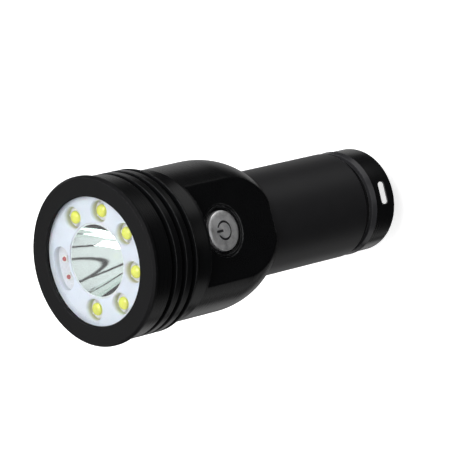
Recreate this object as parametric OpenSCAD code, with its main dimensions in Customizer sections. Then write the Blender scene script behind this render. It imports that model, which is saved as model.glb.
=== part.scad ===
// Multi-beam firefighter's torch with a side switch, standing on its tail cap.
// +Z is the way the beam points, the origin is the centre of the flat tail, and the switch faces -Y.

/* [Overall] */
// Length from the flat tail to the front of the bezel
torch_len = 122; // [121:0.5:123]
// Diameter of the bezel, the widest part
bezel_d = 52.6; // [52.2:0.2:54]
// Diameter of the finned part of the head
fin_d = 51; // [50:0.2:51.6]
// Diameter of the switch section behind the fins
section_d = 48; // [47.6:0.2:49]
// Diameter of the battery tube and tail cap
tube_d = 34; // [33.8:0.1:34.6]

/* [Head] */
// Clear opening of the bezel
aperture_d = 39.8; // [39.2:0.2:40.2]
// Number of cooling grooves
groove_count = 3; // [2:1:3]
// Width of one cooling groove
groove_w = 2; // [1.6:0.1:2.4]
// Depth of one cooling groove
groove_depth = 2.4; // [1.6:0.1:2.6]
// Distance between neighbouring grooves
groove_pitch = 4.4; // [4:0.1:4.6]
// Length of the rounded rear shoulder of the head
shoulder_len = 16; // [14:0.5:17]
// Diameter of the head where it meets the tube
head_rear_d = 38.8; // [38:0.2:39.6]
// Thickness of the front glass
glass_t = 2; // [1.8:0.1:2.2]

/* [Switch] */
// Distance from the front to the centre of the switch
switch_from_front = 39.7; // [39.2:0.1:40]
// Distance from the torch's axis to the flat round the switch
flat_depth = 18.2; // [18:0.1:18.6]
// Diameter of the push button
button_d = 12.6; // [12.2:0.1:12.8]
// Travel of the push button
button_travel = 0.7; // [0.4:0.1:0.7]

/* [Light] */
// Radius of the lamp circle
lamp_circle_r = 15.5; // [15.3:0.1:15.8]
// Radius of the spot reflector's mouth
reflector_mouth_r = 11.1; // [10.8:0.1:11.2]

/* [Battery] */
// Diameter of the cell
cell_d = 26; // [25.6:0.1:26]
// Length of the cell
cell_len = 65; // [64.6:0.1:65]

/* [Tail] */
// Height of the outer part of the tail cap
cap_h = 11.6; // [11.2:0.1:11.8]
// Length of one lanyard slot
slot_len = 7.4; // [5:0.1:8]
// Width of one lanyard slot
slot_w = 2; // [1.6:0.1:2.4]

/* [Bracket] */
// Wall radius of the bracket's threaded hole
bracket_hole_r = 2.55; // [2.5:0.05:2.6]
// Depth of the bracket's threaded hole
bracket_hole_depth = 8; // [6:0.5:8]

/* [Hidden] */
$fn = 96;

// Common values
eps = 0.01;
fit = 0.05;
edge = 0.4;
bezel_r = bezel_d / 2;
fin_r = fin_d / 2;
section_r = section_d / 2;
tube_r = tube_d / 2;
aperture_r = aperture_d / 2;
head_rear_r = head_rear_d / 2;
button_r = button_d / 2;

// Front stack, from the bezel's face down
lip_t = 0.8;
bezel_h = 1.8;
glass_top = torch_len - lip_t;
glass_bottom = glass_top - glass_t;
glass_r = 21;
head_top = torch_len - bezel_h - 0.1;
glass_seal_r = 0.4;
skirt_outer_r = 23.2;
skirt_inner_r = 21.9;
skirt_bottom = head_top - 5;
plate_top = glass_bottom - 0.1;
plate_bottom = plate_top - 2.1;
plate_r = 20.7;
board_t = 1.6;
flood_board_bottom = plate_bottom - board_t;
reflector_top = plate_top - 0.3;

// Lamp and driver compartments
head_cavity_r = plate_r + 0.2;
platform_bottom = flood_board_bottom - 18;
platform_base_t = 3.5;
platform_floor = platform_bottom + platform_base_t;
platform_bore_r = 12.4;
spot_board_top = platform_floor + 1.5;
spot_board_r = 8.9;
channel_y = 12.8;
wire_hole_y = 10.4;
focus_z = spot_board_top + 1.2;
reflector_depth = reflector_top - focus_z;
// Focal length of the parabola through the mouth, with its focus at the lamp
focal = (sqrt(pow(reflector_depth, 2) + pow(reflector_mouth_r, 2)) - reflector_depth) / 2;
reflector_bottom = focus_z + 0.3;
reflector_wall = 0.6;
driver_bore_r = 12.2;

// Battery stack, from the tail up
cap_floor = 6.3;
contact_t = 0.7;
cell_bottom = cap_floor + contact_t + 4.5;
cell_top = cell_bottom + cell_len;
cell_shoulder = cell_top - 0.8;
cell_r = cell_d / 2;
battery_bore_r = 13.6;
contact_h = 1;
driver_bottom = cell_top + contact_h;
driver_top = driver_bottom + board_t;
step_z = cell_shoulder + 0.1;

// Joint between the head and the tube
shoulder_end = torch_len - 61.7;
socket_r = 15.95;
neck_len = 9.7;
neck_r = socket_r - fit;
seal_r = 0.5;

// Tail joint: the cap's neck inside the tube, long enough for two seals and six turns of thread
cap_neck_r = 15.2;
cap_neck_top = cap_h + 15.8;
tail_gap = 3.2;
tail_seal_steps = [4.6, 6.6];
tube_bottom = cap_h + tail_gap;
cap_bore_r = 13.5;

// Switch stack along Y, outermost first
switch_z = torch_len - switch_from_front;
ring_r = 8;
recess_floor = flat_depth - 3.5;
button_face = flat_depth + 0.6;
lip_top = flat_depth - 1;
lip_bottom = lip_top - 0.5;
flange_r = 6.9;
flange_bottom = lip_bottom - 0.5;
stem_r = 2.9;
stem_end = flange_bottom - 3.4;
tact_top = stem_end - 1.1;
tact_half = 3;
tact_bottom = 8.4;
switch_board_t = 1;
flat_front = torch_len - 27.5;
flat_len = flat_front - shoulder_end + 5;

// Bracket pad on the side away from the switch
pad_depth = section_r - 1.2;
pad_r = 9;
pad_z = 85;

// Colours
anodised = "#17181a";
satin_black = "#232427";
steel = "#c9ccd0";
brass = "#c9a24b";
board_white = "#e9ebf2";
board_green = "#1f5a3a";
seal_black = "#1b1b1b";
lamp_yellow = "#e4e64a";

// Ring of a square section between two radii and two heights
module ring(outer_r, inner_r, bottom, top) {
    translate([0, 0, bottom])
        difference() {
            cylinder(r = outer_r, h = top - bottom);
            translate([0, 0, -eps]) cylinder(r = inner_r, h = top - bottom + 2 * eps);
        }
}

// Solid disc between two heights
module disc(r, bottom, top) {
    translate([0, 0, bottom]) cylinder(r = r, h = top - bottom);
}

// O-ring lying round the torch's axis
module seal(centre_r, cord_r, z) {
    translate([0, 0, z])
        rotate_extrude() translate([centre_r, 0]) circle(r = cord_r, $fn = 24);
}

// Places its children on the lamp circle, at an angle from the switch side
module at_lamp(angle, z) {
    rotate([0, 0, angle - 90]) translate([lamp_circle_r, 0, z]) children();
}

// Turns a shape drawn along +Z so that its height becomes the distance outwards to the switch side
module towards_switch() {
    translate([0, 0, switch_z]) rotate([90, 0, 0]) children();
}

// Cylinder on the switch axis, between two distances from the torch's axis
module switch_disc(r, inner, outer) {
    towards_switch() translate([0, 0, inner]) cylinder(r = r, h = outer - inner);
}

// Closed tube through rings of points, each ring having the same number of sides
module sweep(rings) {
    sides = len(rings[0]);
    last = (len(rings) - 1) * sides;
    points = [for (one = rings) for (p = one) p];
    walls = [for (k = [0:len(rings) - 2]) for (i = [0:sides - 1])
        let (a = k * sides + i, b = k * sides + (i + 1) % sides)
        each [[a, b, a + sides], [b, b + sides, a + sides]]];
    ends = [[for (i = [0:sides - 1]) sides - 1 - i], [for (i = [0:sides - 1]) last + i]];
    polyhedron(points = points, faces = concat(walls, ends), convexity = 8);
}

// Rings of a round wire wound about the Z axis, with a radius and a height that change evenly
function coil_rings(turns, r0, r1, z0, z1, wire_r, steps = 24, sides = 8) = [
    for (k = [0:turns * steps])
        let (f = k / (turns * steps), a = f * turns * 360, r = r0 + f * (r1 - r0), z = z0 + f * (z1 - z0))
        [for (i = [0:sides - 1])
            let (b = 360 * i / sides, q = r + wire_r * cos(b))
            [q * cos(a), q * sin(a), z + wire_r * sin(b)]]];

// Share of a smooth step that is done at x, from 0 to 1
function smooth(x) = x <= 0 ? 0 : x >= 1 ? 1 : x * x * (3 - 2 * x);

// Rings of a wire that climbs in Z and moves over in Y between two heights
function climbing_rings(x, y0, y1, z0, z1, move_z, move_len, wire_r, sides = 8, steps = 18) = [
    for (k = [0:steps])
        let (z = z0 + k * (z1 - z0) / steps, y = y0 + (y1 - y0) * smooth((z - move_z) / move_len))
        [for (i = [0:sides - 1])
            let (b = 360 * i / sides)
            [x + wire_r * cos(b), y + wire_r * sin(b), z]]];

// Angles of the six white lamps and the two red ones, from the switch side
lamp_step = 45;
white_lamps = [for (k = [-3:2]) (k + 0.5) * lamp_step];
red_lamps = [180 - 10.5, 180 + 10.5];
screw_angles = [-90, 0, 90];

// Outline points of the head, from the front down
groove_top = torch_len - 8.5;
fins_end = torch_len - 20.3;
neck_front_r = section_r - 1.2;
neck_end = torch_len - 26.5;
shoulder_start = shoulder_end + shoulder_len;
shoulder_drop = section_r - head_rear_r;
shoulder_arc_r = (pow(shoulder_drop, 2) + pow(shoulder_len, 2)) / (2 * shoulder_drop);
shoulder_angle = asin(shoulder_len / shoulder_arc_r);
arc_steps = 16;

function groove_outline(top) = [
    [fin_r, top],
    [fin_r - groove_depth, top - 0.3],
    [fin_r - groove_depth, top - groove_w + 0.3],
    [fin_r, top - groove_w]];

head_outline = concat(
    [[skirt_outer_r + fit, head_top], [fin_r - edge, head_top], [fin_r, head_top - edge]],
    [for (k = [0:groove_count - 1]) each groove_outline(groove_top - k * groove_pitch)],
    [[fin_r, fins_end + 0.5], [fin_r - 0.5, fins_end], [neck_front_r, fins_end - 0.7],
        [section_r, neck_end]],
    [for (k = [0:arc_steps])
        let (a = shoulder_angle * k / arc_steps)
        [section_r - shoulder_arc_r * (1 - cos(a)), shoulder_start - shoulder_arc_r * sin(a)]],
    [[head_rear_r - edge, shoulder_end - edge]]);

head_bore = [
    [socket_r, shoulder_end - edge],
    [socket_r, shoulder_end + neck_len + 0.2],
    [battery_bore_r, shoulder_end + neck_len + 0.2],
    [battery_bore_r, step_z],
    [driver_bore_r, step_z],
    [driver_bore_r, platform_bottom],
    [head_cavity_r, platform_bottom],
    [head_cavity_r, glass_bottom],
    [skirt_inner_r - 0.1, glass_bottom],
    [skirt_inner_r - 0.1, skirt_bottom - 0.1],
    [skirt_outer_r + fit, skirt_bottom - 0.1]];

// Front ring that screws in and holds the glass
module front_bezel() {
    groove_z = head_top - 1.3;
    color(satin_black)
        difference() {
            rotate_extrude() polygon([
                [aperture_r, glass_top], [aperture_r, torch_len - edge], [aperture_r + edge, torch_len],
                [bezel_r - 0.7, torch_len], [bezel_r, torch_len - 0.7],
                [bezel_r, torch_len - bezel_h + 0.3], [bezel_r - 0.3, torch_len - bezel_h],
                [skirt_outer_r, torch_len - bezel_h], [skirt_outer_r, skirt_bottom],
                [skirt_inner_r, skirt_bottom], [skirt_inner_r, glass_top]]);
            ring(skirt_outer_r + 1, skirt_outer_r - 0.8, groove_z - 0.6, groove_z + 0.6);
        }
}

module front_glass() {
    color("#dfe6ee", 0.35)
        rotate_extrude() polygon([
            [0, glass_bottom], [glass_r - 0.3, glass_bottom], [glass_r, glass_bottom + 0.3],
            [glass_r, glass_top - 0.3], [glass_r - 0.3, glass_top], [0, glass_top]]);
}

// O-ring round the rim of the glass, on the head's collar
module glass_seal() {
    color(seal_black) seal(glass_r + fit + glass_seal_r, glass_seal_r, glass_bottom + glass_seal_r);
}

module bezel_seal() {
    color(seal_black) seal(skirt_outer_r - 0.4, 0.4, head_top - 1.3);
}

// White plate over the lamp board, with a pocket for each lamp and a window for the red ones
module face_plate() {
    window_half = 3.2;
    window_r = 15.4;
    window_angle = 28;
    color(board_white)
        difference() {
            disc(plate_r, plate_bottom, plate_top);
            disc(reflector_mouth_r + 0.45, plate_bottom - eps, plate_top + eps);
            for (a = white_lamps)
                at_lamp(a, plate_bottom - eps) cylinder(r1 = 3.1, r2 = 3.4, h = 2.1 + 2 * eps);
            translate([0, 0, plate_bottom - eps])
                rotate([0, 0, 90 - window_angle / 2])
                    rotate_extrude(angle = window_angle)
                        translate([window_r - window_half, 0])
                            square([2 * window_half, 2.1 + 2 * eps]);
            for (a = [-1, 1])
                rotate([0, 0, 90 + a * window_angle / 2])
                    translate([window_r, 0, plate_bottom - eps])
                        cylinder(r = window_half, h = 2.1 + 2 * eps);
        }
}

// Ring-shaped lamp board, screwed to the platform
module flood_board() {
    color("#eceff3")
        difference() {
            ring(plate_r, platform_bore_r - 0.4, flood_board_bottom, plate_bottom);
            for (a = screw_angles)
                at_lamp(a, flood_board_bottom) {
                    translate([0, 0, -eps]) cylinder(r = 1.1, h = board_t + 2 * eps);
                    translate([0, 0, board_t - 1]) cylinder(r1 = 1.1, r2 = 2, h = 1 + eps);
                }
        }
}

module board_screws() {
    color(steel)
        for (a = screw_angles)
            at_lamp(a, plate_bottom - 0.1)
                difference() {
                    union() {
                        translate([0, 0, -6]) cylinder(r = 1, h = 6);
                        translate([0, 0, -0.85]) cylinder(r1 = 1, r2 = 1.85, h = 0.85);
                    }
                    translate([-1.3, -0.2, -0.4]) cube([2.6, 0.4, 1]);
                    translate([-0.2, -1.3, -0.4]) cube([0.4, 2.6, 1]);
                }
}

module flood_led_bases() {
    color("#f4f4f0")
        for (a = white_lamps)
            at_lamp(a, plate_bottom) translate([-2.1, -2.1, 0]) cube([4.2, 4.2, 0.7]);
}

module flood_led_domes() {
    color(lamp_yellow)
        for (a = white_lamps)
            at_lamp(a, plate_bottom + 0.7)
                intersection() {
                    translate([0, 0, -0.98]) sphere(r = 2.23, $fn = 48);
                    cylinder(r = 3, h = 2);
                }
}

module red_led_bases() {
    color("#f1f1ee")
        for (a = red_lamps)
            at_lamp(a, plate_bottom) translate([-1.1, -1.1, 0]) cube([2.2, 2.2, 0.6]);
}

module red_led_lenses() {
    color("#c4262a")
        for (a = red_lamps)
            at_lamp(a, plate_bottom + 0.6) cylinder(r1 = 0.75, r2 = 0.6, h = 0.4);
}

// Parabolic reflector of the spot beam
module spot_reflector() {
    steps = 14;
    vertex_z = focus_z - focal;
    inside = [for (k = [0:steps])
        let (z = reflector_bottom + k * (reflector_top - reflector_bottom) / steps)
        [sqrt(4 * focal * (z - vertex_z)), z]];
    outside = [for (k = [steps:-1:0])
        [min(inside[k][0] + reflector_wall, reflector_mouth_r + 0.4), inside[k][1]]];
    color("#e8eaee") rotate_extrude() polygon(concat(inside, outside));
}

module centring_ring() {
    color("#f2f2ee")
        difference() {
            disc(5, spot_board_top, reflector_bottom - fit);
            translate([-2.6, -2.6, spot_board_top - eps]) cube([5.2, 5.2, 2]);
        }
}

module spot_board() {
    color("#e4e7ea")
        difference() {
            disc(spot_board_r, platform_floor, spot_board_top);
            for (x = [-7, 7])
                translate([x, 0, platform_floor - eps]) cylinder(r = 1.1, h = 2);
        }
}

module spot_screws() {
    color(steel)
        for (x = [-7, 7])
            translate([x, 0, spot_board_top])
                difference() {
                    union() {
                        translate([0, 0, -4]) cylinder(r = 1, h = 4 + eps);
                        cylinder(r = 1.8, h = 1);
                    }
                    translate([-1.2, -0.2, 0.5]) cube([2.4, 0.4, 1]);
                    translate([-0.2, -1.2, 0.5]) cube([0.4, 2.4, 1]);
                }
}

module spot_led_base() {
    color("#f4f4f0") translate([-2.5, -2.5, spot_board_top]) cube([5, 5, 0.8]);
}

module spot_led_dome() {
    color(lamp_yellow)
        translate([0, 0, spot_board_top + 0.8])
            intersection() {
                sphere(r = 2.2, $fn = 48);
                cylinder(r = 3, h = 3);
            }
}

// Turned heat spreader: its floor carries the spot lamp and its rim the lamp board
module led_platform() {
    color("#b9bcc0")
        difference() {
            disc(head_cavity_r - fit, platform_bottom, flood_board_bottom);
            disc(platform_bore_r, platform_floor, flood_board_bottom + eps);
            for (a = screw_angles)
                at_lamp(a, flood_board_bottom - 7) cylinder(r = 1.02, h = 7 + eps);
            for (x = [-7, 7])
                translate([x, 0, platform_floor - 3]) cylinder(r = 1.02, h = 3 + eps);
            translate([0, wire_hole_y, platform_bottom - eps])
                cylinder(r = 1.8, h = platform_base_t + 2 * eps);
            translate([0, channel_y, platform_floor + 3]) cylinder(r = 1.4, h = 20);
        }
}

// Head: lamp chamber in front, switch and driver behind it, and the socket for the tube
module head_housing() {
    color(anodised)
        difference() {
            rotate_extrude() polygon(concat(head_outline, head_bore));
            translate([-section_r, -section_r - 3, flat_front - flat_len])
                cube([2 * section_r, section_r + 3 - flat_depth, flat_len]);
            switch_disc(ring_r, recess_floor, flat_depth + 1);
            towards_switch()
                translate([0, 0, flat_depth - 0.35]) cylinder(r1 = ring_r, r2 = ring_r + 0.5, h = 0.5);
            switch_disc(stem_r + fit, driver_bore_r - 1.5, recess_floor + eps);
            translate([0, pad_depth, pad_z]) rotate([-90, 0, 0]) cylinder(r = pad_r, h = 5);
            translate([0, pad_depth - bracket_hole_depth, pad_z])
                rotate([-90, 0, 0]) cylinder(r = bracket_hole_r, h = bracket_hole_depth + eps);
        }
}

module driver_board() {
    color(board_green) disc(driver_bore_r - 0.1, driver_bottom, driver_top);
}

// Controller, power transistor, sense resistor and two capacitors
module driver_chips() {
    color("#26272a") {
        translate([2.5, -2.5, driver_top]) cube([5, 6, 1.6]);
        translate([-2.5, 4.2, driver_top]) cube([5, 4, 1.1]);
        translate([-6.5, -6, driver_top]) cube([3.2, 2.5, 1]);
        translate([4, -6.5, driver_top]) cube([3.2, 1.6, 1.5]);
        translate([4.6, 5.2, driver_top]) cube([3.2, 1.6, 1.5]);
    }
}

module driver_inductor() {
    color("#3a3b3e") translate([-8, -2.8, driver_top]) cube([6, 6, 3]);
}

// Threaded ring that holds the driver in the head
module driver_ring() {
    color(brass)
        difference() {
            ring(driver_bore_r - fit, 9.5, driver_bottom - 1.4, driver_bottom);
            for (a = [-1, 1])
                translate([a * 10.8, 0, driver_bottom - 2]) cylinder(r = 0.8, h = 3);
        }
}

module positive_contact() {
    color(brass) disc(3, driver_bottom - contact_h, driver_bottom);
}

// Two wires to the spot lamp and two to the lamp board
module led_wires() {
    wire_r = 0.45;
    inner_y = 9.6;
    outer_y = 11.3;
    color("#a8322c")
        for (x = [-0.7, 0.7]) {
            sweep(climbing_rings(x, inner_y, spot_board_r + wire_r + 0.02, driver_top, spot_board_top,
                platform_bottom, platform_base_t, wire_r));
            sweep(climbing_rings(x, outer_y, channel_y, driver_top, flood_board_bottom,
                platform_floor + 4, 9, wire_r));
        }
}

// Threaded ring that keeps the button in
module switch_ring() {
    color(anodised)
        difference() {
            switch_disc(ring_r - fit, recess_floor, flat_depth);
            switch_disc(ring_r - 0.6, lip_top, flat_depth + 1);
            switch_disc(button_r + 0.1, lip_bottom - eps, lip_top + eps);
            switch_disc(flange_r + 0.15, recess_floor - eps, lip_bottom);
        }
}

module switch_button() {
    groove_in = stem_end + 1;
    color(steel)
        difference() {
            union() {
                switch_disc(button_r, lip_bottom, button_face - 0.4);
                towards_switch()
                    translate([0, 0, button_face - 0.4])
                        cylinder(r1 = button_r, r2 = button_r - 0.4, h = 0.4);
                switch_disc(flange_r, flange_bottom, lip_bottom);
                switch_disc(stem_r, stem_end, flange_bottom + eps);
            }
            towards_switch()
                translate([0, 0, groove_in])
                    difference() {
                        cylinder(r = stem_r + 1, h = 0.9);
                        translate([0, 0, -eps]) cylinder(r = stem_r - 0.8, h = 1);
                    }
            icon_shape(button_face - 0.3, 1);
        }
}

// Generic power symbol: a broken circle and a bar
module icon_shape(bottom, height) {
    towards_switch()
        translate([0, 0, bottom])
            rotate([0, 0, 90]) {
                difference() {
                    cylinder(r = 3.1, h = height);
                    translate([0, 0, -eps]) cylinder(r = 2.4, h = height + 2 * eps);
                    translate([0, -1.2, -eps]) cube([4, 2.4, height + 2 * eps]);
                }
                translate([0.4, -0.4, 0]) cube([3, 0.8, height]);
            }
}

module switch_icon() {
    color("#303236") icon_shape(button_face - 0.3, 0.25);
}

module switch_seal() {
    color(seal_black)
        towards_switch()
            translate([0, 0, stem_end + 1.45])
                rotate_extrude() translate([stem_r - 0.4, 0]) circle(r = 0.4, $fn = 24);
}

// Wave-height spring under the button's flange, drawn with the button pressed
module switch_spring() {
    gap = flange_bottom - button_travel - recess_floor;
    wire_r = (gap - 0.1) / 4;
    bottom = recess_floor + fit + wire_r;
    top = recess_floor + gap - fit - wire_r;
    color(steel)
        towards_switch() sweep(coil_rings(2, 5, 4, bottom, top, wire_r));
}

module switch_plunger() {
    color("#2c2c2e") switch_disc(1.6, tact_top - 1.2, stem_end);
}

module tact_switch() {
    color("#3b3b3d")
        difference() {
            translate([-tact_half, -tact_top, switch_z - tact_half])
                cube([2 * tact_half, tact_top - tact_bottom, 2 * tact_half]);
            switch_disc(1.7, tact_bottom + 1, tact_top + 1);
        }
}

module switch_board() {
    color(board_green)
        translate([-6, -tact_bottom, driver_top]) cube([12, switch_board_t, 10.5]);
}

// Battery tube, with a neck in front that goes into the head
module battery_tube() {
    tail_thread_top = cap_neck_top + 0.8;
    color(satin_black)
        difference() {
            rotate_extrude() polygon([
                [cap_neck_r + fit, tube_bottom], [tube_r - edge, tube_bottom], [tube_r, tube_bottom + edge],
                [tube_r, shoulder_end - edge], [neck_r, shoulder_end - edge],
                [neck_r, shoulder_end - edge + neck_len - 0.4],
                [neck_r - 0.4, shoulder_end - edge + neck_len],
                [battery_bore_r, shoulder_end - edge + neck_len], [battery_bore_r, tail_thread_top],
                [cap_neck_r + fit, tail_thread_top]]);
            for (z = [2, 4.6])
                ring(neck_r + 1, neck_r - 2 * seal_r, shoulder_end + z - 0.65, shoulder_end + z + 0.65);
        }
}

module tube_seals() {
    color(seal_black)
        for (z = [2, 4.6])
            seal(neck_r - seal_r, seal_r, shoulder_end + z);
}

module cell_can() {
    color("#b8bcc2") disc(cell_r - 0.05, cell_bottom, cell_shoulder);
}

module cell_wrapper() {
    color("#2f5d8c") ring(cell_r + 0.1, cell_r - 0.05, cell_bottom + 0.3, cell_shoulder - 0.2);
}

module cell_insulator() {
    color("#f0efe8") ring(11.8, 6, cell_shoulder, cell_shoulder + 0.3);
}

module cell_top_cap() {
    color("#c3c7cc") disc(5.5, cell_shoulder, cell_top);
}

// One lanyard slot that cuts the corner between the side and the tail
module lanyard_slot() {
    half = (slot_len - slot_w) / 2;
    reach = 30;
    translate([0, -tube_r + 0.3, 5.9])
        rotate([45, 0, 0]) {
            translate([-half, -slot_w / 2, -reach / 2]) cube([2 * half, slot_w, reach]);
            for (x = [-half, half])
                translate([x, 0, -reach / 2]) cylinder(r = slot_w / 2, h = reach, $fn = 32);
        }
}

// Tail cap, whose neck screws into the tube
module tail_cap() {
    foot_r = tube_r - 2.1;
    side_r = tube_r - 0.3;
    fillet_steps = 6;
    fillet = side_r - foot_r;
    band_bottom = cap_h - 2;
    color(anodised)
        difference() {
            rotate_extrude() polygon(concat(
                [[0, 0]],
                [for (k = [0:fillet_steps])
                    let (a = 90 * k / fillet_steps)
                    [foot_r + fillet * sin(a), fillet * (1 - cos(a))]],
                [[side_r, band_bottom], [tube_r, band_bottom + 0.2], [tube_r, band_bottom + 0.4],
                    [tube_r - 0.6, cap_h], [cap_neck_r, cap_h], [cap_neck_r, cap_neck_top - 0.4],
                    [cap_neck_r - 0.4, cap_neck_top], [cap_bore_r, cap_neck_top],
                    [cap_bore_r, cap_floor], [0, cap_floor]]));
            for (z = tail_seal_steps)
                ring(cap_neck_r + 1, cap_neck_r - 2 * seal_r, cap_h + z - 0.65, cap_h + z + 0.65);
            lanyard_slot();
            rotate([0, 0, 180]) lanyard_slot();
        }
}

module tail_seals() {
    color(seal_black)
        for (z = tail_seal_steps)
            seal(cap_neck_r - seal_r, seal_r, cap_h + z);
}

module tail_spring() {
    wire_r = 0.5;
    color(brass)
        sweep(coil_rings(3, 6.5, 3.5, cap_floor + contact_t + wire_r, cell_bottom - wire_r, wire_r));
}

module tail_contact() {
    color(brass) disc(9, cap_floor, cap_floor + contact_t);
}

front_bezel();
front_glass();
glass_seal();
bezel_seal();
face_plate();
flood_board();
board_screws();
flood_led_bases();
flood_led_domes();
red_led_bases();
red_led_lenses();
spot_reflector();
centring_ring();
spot_board();
spot_screws();
spot_led_base();
spot_led_dome();
led_platform();
head_housing();
driver_board();
driver_chips();
driver_inductor();
driver_ring();
positive_contact();
led_wires();
switch_ring();
switch_button();
switch_icon();
switch_seal();
switch_spring();
switch_plunger();
tact_switch();
switch_board();
battery_tube();
tube_seals();
cell_can();
cell_wrapper();
cell_insulator();
cell_top_cap();
tail_cap();
tail_seals();
tail_spring();
tail_contact();
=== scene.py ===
"""Looks of a multi-beam torch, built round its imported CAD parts.

Lengths are in millimetres, and MM turns them into Blender's metres. Only the camera, the light and the
floor's radius are in metres. The torch stands on its tail cap with the beam along +Z and the switch facing
-Y, as in the CAD.
"""

import math
from collections import namedtuple

import bmesh
import bpy
from mathutils import Matrix, Vector


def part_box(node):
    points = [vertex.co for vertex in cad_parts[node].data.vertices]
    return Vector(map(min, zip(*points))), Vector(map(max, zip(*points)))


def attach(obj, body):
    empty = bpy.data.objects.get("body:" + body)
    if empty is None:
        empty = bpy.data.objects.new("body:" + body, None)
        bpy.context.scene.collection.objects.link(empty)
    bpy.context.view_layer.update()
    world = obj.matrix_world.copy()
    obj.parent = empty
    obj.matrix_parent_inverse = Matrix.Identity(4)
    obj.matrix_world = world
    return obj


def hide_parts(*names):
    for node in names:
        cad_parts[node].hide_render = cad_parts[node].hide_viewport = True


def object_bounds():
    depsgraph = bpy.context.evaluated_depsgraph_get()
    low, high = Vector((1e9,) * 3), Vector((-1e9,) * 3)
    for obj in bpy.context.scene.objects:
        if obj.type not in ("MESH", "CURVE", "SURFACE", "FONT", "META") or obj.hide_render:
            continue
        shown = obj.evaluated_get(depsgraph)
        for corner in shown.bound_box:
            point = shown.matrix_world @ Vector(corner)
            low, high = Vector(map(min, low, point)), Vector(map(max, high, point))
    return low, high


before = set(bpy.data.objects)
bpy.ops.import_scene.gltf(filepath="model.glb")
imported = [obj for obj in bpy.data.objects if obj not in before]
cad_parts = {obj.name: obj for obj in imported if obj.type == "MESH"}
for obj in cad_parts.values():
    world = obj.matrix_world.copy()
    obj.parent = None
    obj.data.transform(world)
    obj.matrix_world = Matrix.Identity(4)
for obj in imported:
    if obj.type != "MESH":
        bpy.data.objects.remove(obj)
cad_low, cad_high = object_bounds()

MM = 0.001
TURN = 2 * math.pi
QUARTER = math.pi / 2
STEPS = 192
SHARP_ANGLE = math.radians(35)
FILLET_STEPS = 4
FILLET_GUARD = 0.06
WIRE_SIDES = 12

# ---- Sizes, read from the frame

Turned = namedtuple("Turned", "r low high")


def turned(node):
    """Outer radius, bottom and top of a CAD node that is turned round the torch's axis."""
    low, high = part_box(node)
    return Turned(high.x / MM, low.z / MM, high.z / MM)


BEZEL = turned("front_bezel")
GLASS = turned("front_glass")
PLATE = turned("face_plate")
BOARD = turned("flood_board")
REFLECTOR = turned("spot_reflector")
PLATFORM = turned("led_platform")
HEAD = turned("head_housing")
TUBE = turned("battery_tube")
CAP = turned("tail_cap")

button_low, button_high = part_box("switch_button")
ring_low, ring_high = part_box("switch_ring")
SWITCH_Z = (ring_low.z + ring_high.z) / 2 / MM
FLAT_DEPTH = -ring_low.y / MM
BUTTON_FACE = -button_low.y / MM

# Head
SECTION_R = HEAD.r - 1.5
NECK_R = SECTION_R - 1.2
FLAT_FRONT = HEAD.high - 25.6
SHOULDER_LEN = 16.0
SHOULDER_END = HEAD.low + 0.4
REAR_R = 19.4
SOCKET_R = 15.95
BORE_R = 13.6
DRIVER_BORE_R = 12.2
CAVITY_R = PLATE.r + 0.2
GROOVES = 3
GROOVE_START = 6.6
GROOVE_PITCH = 4.4
GROOVE_WIDTH = 2.0
GROOVE_DEPTH = 2.4
FINS_LEN = 18.4

# Bezel, lamps and their platform
SKIRT_IN = 21.9
SKIRT_OUT = 23.2
APERTURE_R = 19.9
PLATFORM_BORE = 12.4
SPOT_FLOOR = PLATFORM.low + 3.5
SPOT_SCREWS = (-7, 7)
PAD_DEPTH = SECTION_R - 1.2
PAD_Z = 85.0
PAD_R = 9.0
BRACKET_HOLE_R, BRACKET_HOLE_DEPTH, BRACKET_PITCH = 2.55, 8, 1.0

# Switch
SWITCH_FLOOR = FLAT_DEPTH - 3.5
SWITCH_HOLE_R = 8.0

# Lamp positions
LAMP_CIRCLE = 15.5
WHITE_LAMPS = [math.radians(22.5 + 45 * k) for k in range(-3, 3)]
RED_LAMPS = [math.radians(180 - 10.5), math.radians(180 + 10.5)]
SCREW_ANGLES = [-QUARTER, 0, QUARTER]

# Tail cap, its seals, and the thread it shares with the tube
CAP_HEIGHT = TUBE.low - 3.2
CAP_SEALS = (CAP_HEIGHT + 4.6, CAP_HEIGHT + 6.6)
TUBE_SEALS = (SHOULDER_END + 2, SHOULDER_END + 4.6)
CAP_NECK_R = 15.2
THREAD_LOW = CAP.high - 8.2
PITCH = 1.5
THREAD_DEPTH = 0.55
THREAD_GAP = 0.08

# ---- Mesh tools


def rounded(corners):
    """Closed outline through (r, z, fillet) corners. A fillet is an arc with a close point at both ends."""
    points = []
    for i, (r, z, fillet) in enumerate(corners):
        here = Vector((r, z))
        before = Vector(corners[i - 1][:2]) - here
        after = Vector(corners[(i + 1) % len(corners)][:2]) - here
        if not fillet or before.length < 1e-6 or after.length < 1e-6:
            points.append((r, z))
            continue
        half = max(before.angle(after) / 2, 0.05)
        reach = min(fillet / math.tan(half), 0.42 * before.length, 0.42 * after.length)
        start = here + before.normalized() * reach
        end = here + after.normalized() * reach
        guard = min(FILLET_GUARD, 0.05 * before.length, 0.05 * after.length)
        points.append(tuple(start + before.normalized() * guard))
        for k in range(FILLET_STEPS + 1):
            t = k / FILLET_STEPS
            points.append(tuple(start * (1 - t) ** 2 + here * 2 * t * (1 - t) + end * t * t))
        points.append(tuple(end + after.normalized() * guard))
    return points


def denser(outline, step, low=-1e9, high=1e9):
    """The outline with its long stretches between two heights divided."""
    points = []
    for (r0, z0), (r1, z1) in zip(outline, outline[1:] + outline[:1]):
        points.append((r0, z0))
        middle = (z0 + z1) / 2
        length = math.hypot(r1 - r0, z1 - z0)
        if low <= middle <= high and length > step and max(r0, r1) > 1e-6:
            parts = math.ceil(length / step)
            points += [(r0 + (r1 - r0) * k / parts, z0 + (z1 - z0) * k / parts) for k in range(1, parts)]
    return points


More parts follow.
